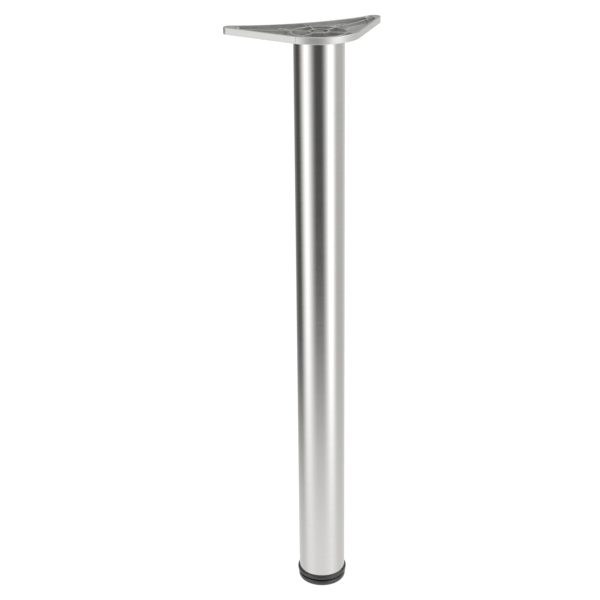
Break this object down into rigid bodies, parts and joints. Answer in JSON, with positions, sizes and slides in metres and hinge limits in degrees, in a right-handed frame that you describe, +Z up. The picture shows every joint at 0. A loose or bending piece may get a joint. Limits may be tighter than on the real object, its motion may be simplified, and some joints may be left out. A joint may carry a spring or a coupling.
{
  "type": "table leg",
  "caption": "Round brushed steel table leg with a cast three-cornered mounting plate and a screw-in levelling foot.",
  "frame": {"origin": "middle of the foot's floor face, on the tube's axis", "axes": "+Z up along the tube, -Y towards the plate's rounded nose, X across the plate from tip to tip"},
  "size_m": [0.1966, 0.1096, 0.736],
  "materials": {
    "tube_steel": "satin, brushed round the tube",
    "plate_casting": "bare die casting",
    "clamp_casting": "bare die casting",
    "zinc_steel": "zinc plated",
    "black_plastic": "fine moulded grain"
  },
  "bodies": {
    "leg": {"mounting_plate": "plate_casting", "right_jaw": "clamp_casting", "left_jaw": "clamp_casting", "clamp_wedge": "clamp_casting", "clamp_screw": "zinc_steel", "clamp_washer": "zinc_steel", "tube": "tube_steel", "end_plug": "black_plastic", "stem_nut": "zinc_steel"},
    "stem": {"foot_stem": "zinc_steel"},
    "foot": {"foot_pad": "black_plastic"}
  },
  "joints": [
    {"name": "foot_drop", "type": "slide", "parent": "leg", "child": "stem", "axis": [0, 0, -1], "range_m": [0, 0.02]},
    {"name": "foot_turn", "type": "hinge", "parent": "stem", "child": "foot", "pos_m": [0, 0, 0], "axis": [0, 0, -1], "range_deg": [0, 4810]}
  ],
  "couplings": [
    {"joint": "foot_turn", "follows": "foot_drop", "rad_per_m": 4188.8}
  ]
}
